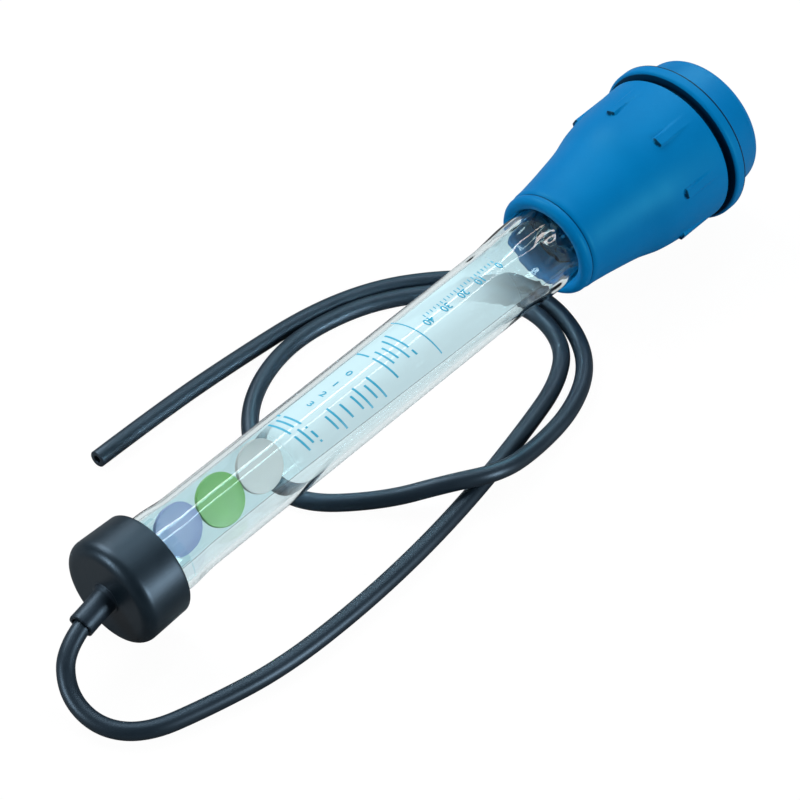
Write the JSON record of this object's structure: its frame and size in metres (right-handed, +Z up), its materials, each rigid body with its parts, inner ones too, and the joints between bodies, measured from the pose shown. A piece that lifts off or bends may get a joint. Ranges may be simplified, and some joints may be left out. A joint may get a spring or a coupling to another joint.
{
  "type": "diesel exhaust fluid tester",
  "caption": "Hand-held fluid tester: clear barrel with loose coloured discs, rubber squeeze bulb, rubber nozzle cap and a long looped suction hose.",
  "frame": {"origin": "on the floor, in the middle of the tool's own box, measured without the hose", "axes": "+X along the floor from the nozzle towards the bulb, +Z up; the tool's own axis leans 2.3 degrees, its bulb end higher"},
  "size_m": [0.3894, 0.1361, 0.0711],
  "materials": {
    "bulb_rubber": "satin blue rubber",
    "clear_plastic": "clear glossy plastic",
    "black_rubber": "satin black rubber",
    "hose_rubber": "satin black rubber",
    "pale_plastic": "milky plastic",
    "blue_plastic": "light blue plastic",
    "green_plastic": "green plastic",
    "ivory_plastic": "ivory plastic"
  },
  "bodies": {
    "tester": {"squeeze_bulb": "bulb_rubber", "bulb_end_cap": "bulb_rubber", "barrel": "clear_plastic", "nozzle_cap": "black_rubber", "nozzle_sleeve": "black_rubber", "hose": "hose_rubber", "disc_retainer": "pale_plastic", "upper_disc_stop": "clear_plastic"},
    "blue": {"blue_disc": "blue_plastic"},
    "green": {"green_disc": "green_plastic"},
    "ivory": {"ivory_disc": "ivory_plastic"}
  },
  "joints": [
    {"name": "blue_slide", "type": "slide", "parent": "tester", "child": "blue", "axis": [0.9992, 0, 0.0398], "range_m": [-0.021, 0.05]},
    {"name": "green_slide", "type": "slide", "parent": "blue", "child": "green", "axis": [0.9992, 0, 0.0398], "range_m": [0, 0.05]},
    {"name": "ivory_slide", "type": "slide", "parent": "green", "child": "ivory", "axis": [0.9992, 0, 0.0398], "range_m": [0, 0.05]}
  ]
}
